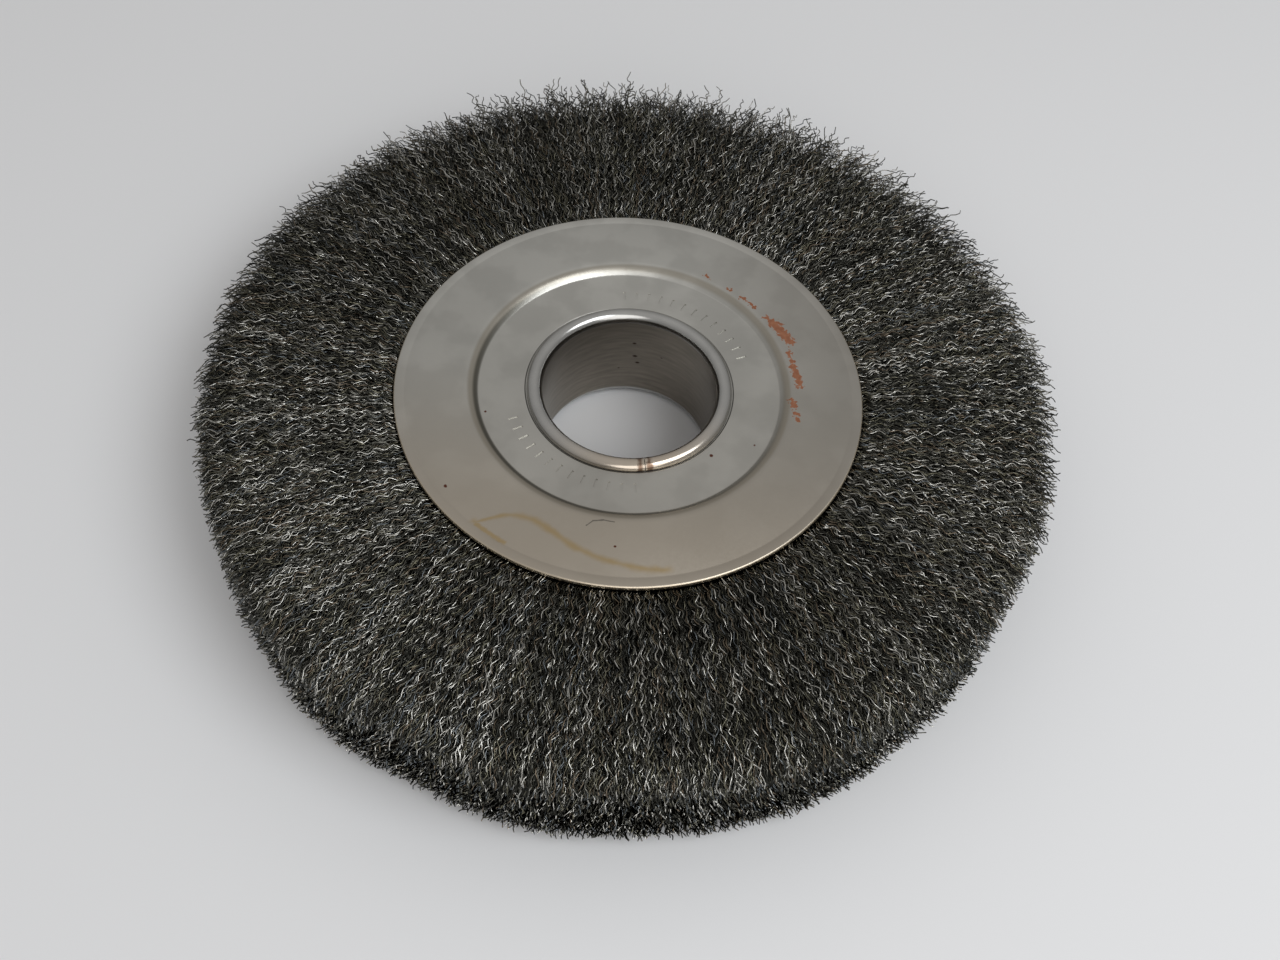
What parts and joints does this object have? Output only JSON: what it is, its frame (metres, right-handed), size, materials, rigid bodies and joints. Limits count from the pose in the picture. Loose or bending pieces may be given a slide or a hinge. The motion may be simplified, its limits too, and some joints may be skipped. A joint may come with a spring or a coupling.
{
  "type": "crimped wire wheel brush",
  "caption": "Round crimped-wire wheel brush with stamped side plates, held by a rolled sleeve that forms its arbor hole.",
  "frame": {"origin": "middle of the underside, on the wheel's axis, where the lying wheel touches what it rests on", "axes": "+Z along the arbor hole, up as the wheel lies flat; X and Y across the wheel"},
  "size_m": [0.254, 0.254, 0.0381],
  "materials": {
    "plate_steel": "satin mill finish sheet steel, lightly rusted and stained",
    "sleeve_steel": "rolled sheet steel, smooth and bright on the curled lip, darker in the bore",
    "channel_steel": "plain formed strip steel",
    "hoop_steel": "plain drawn wire",
    "wire_steel": "dark oil-tempered steel wire with bright glints"
  },
  "bodies": {
    "root": {"side_plate_top": "plate_steel", "side_plate_bottom": "plate_steel", "arbor_sleeve": "sleeve_steel", "channel_ring_1": "channel_steel", "channel_ring_2": "channel_steel", "channel_ring_3": "channel_steel", "channel_ring_4": "channel_steel", "retaining_hoop_1": "hoop_steel", "retaining_hoop_2": "hoop_steel", "retaining_hoop_3": "hoop_steel", "retaining_hoop_4": "hoop_steel", "wire_fill_1": "wire_steel", "wire_fill_2": "wire_steel", "wire_fill_3": "wire_steel", "wire_fill_4": "wire_steel"}
  },
  "joints": []
}
